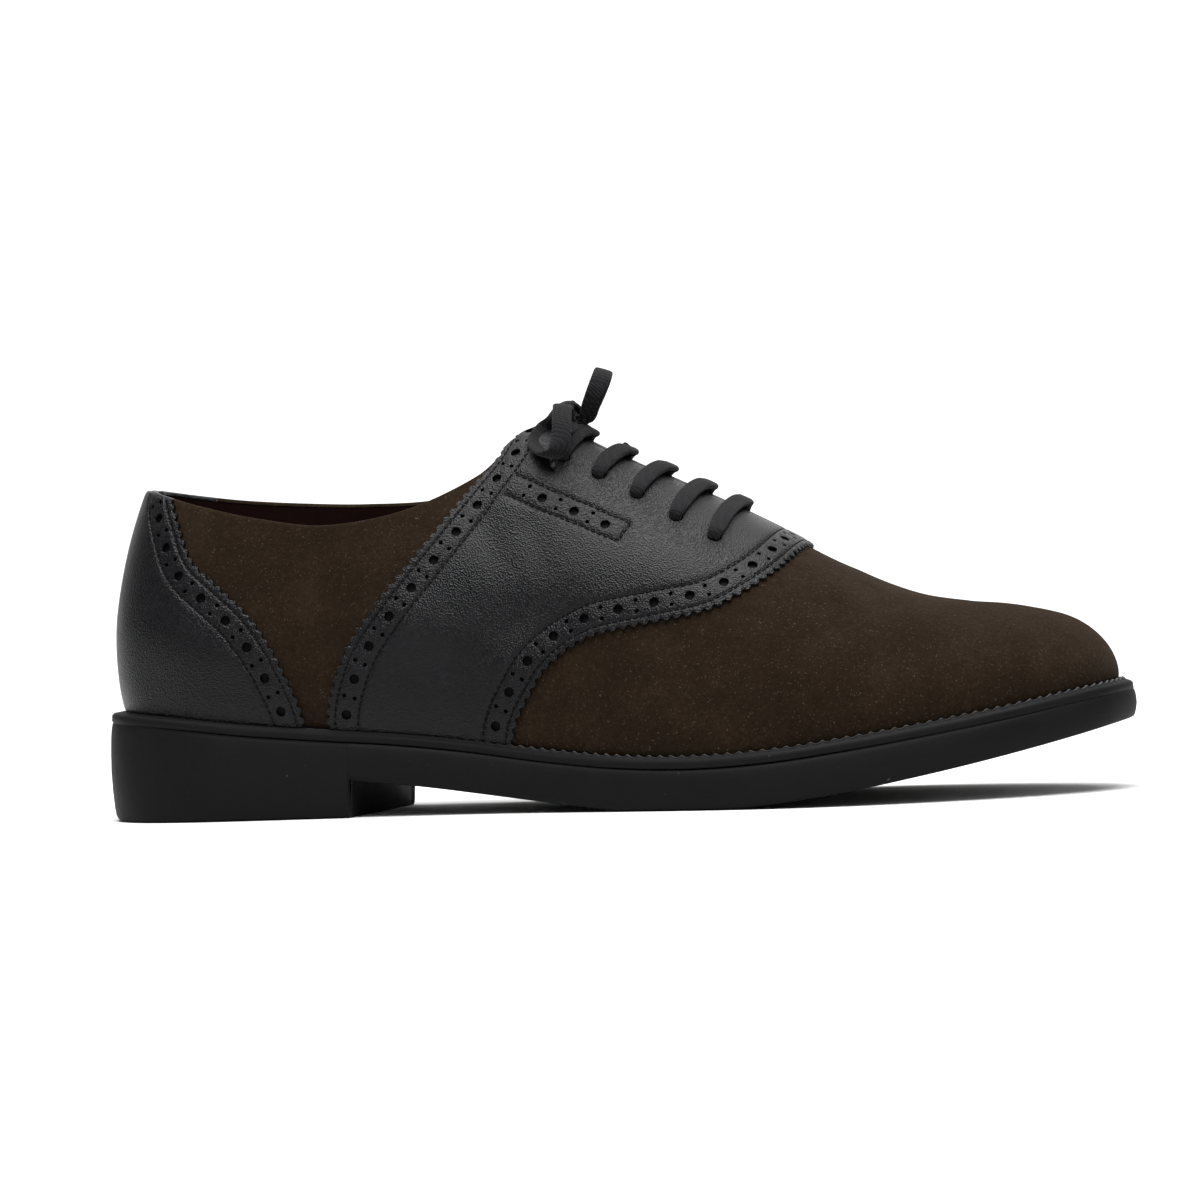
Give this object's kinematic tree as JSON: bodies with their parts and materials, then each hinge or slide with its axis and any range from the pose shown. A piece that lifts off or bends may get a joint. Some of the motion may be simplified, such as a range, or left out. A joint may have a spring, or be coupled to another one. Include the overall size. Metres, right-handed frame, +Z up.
{
  "type": "brogue shoe",
  "caption": "Laced saddle brogue shoe for the right foot, empty and standing: suede vamp and quarters, leather saddle and counter, one-piece rubber sole with heel.",
  "frame": {"origin": "the middle of the heel's flat underside, on the floor", "axes": "+X to the toe, +Y to the inner (medial) side of the foot, +Z up"},
  "size_m": [0.3045, 0.108, 0.1285],
  "materials": {
    "rubber": "matte moulded",
    "suede": "napped suede",
    "leather": "smooth, soft gloss",
    "lining": "smooth lining",
    "lace": "woven cotton",
    "aglet": "glossy"
  },
  "bodies": {
    "root": {"outsole": "rubber", "welt": "rubber", "insole": "lining", "upper": "suede", "saddle": "leather", "counter": "leather", "tongue": "leather", "lace_bar_1": "lace", "lace_bar_2": "lace", "lace_bar_3": "lace", "lace_bar_4": "lace", "lace_bar_5": "lace", "lace_knot": "lace", "lace_loop_top": "lace", "lace_loop_side": "lace", "lace_end_medial": "lace", "lace_end_lateral": "lace", "aglet_medial": "aglet", "aglet_lateral": "aglet"}
  },
  "joints": []
}
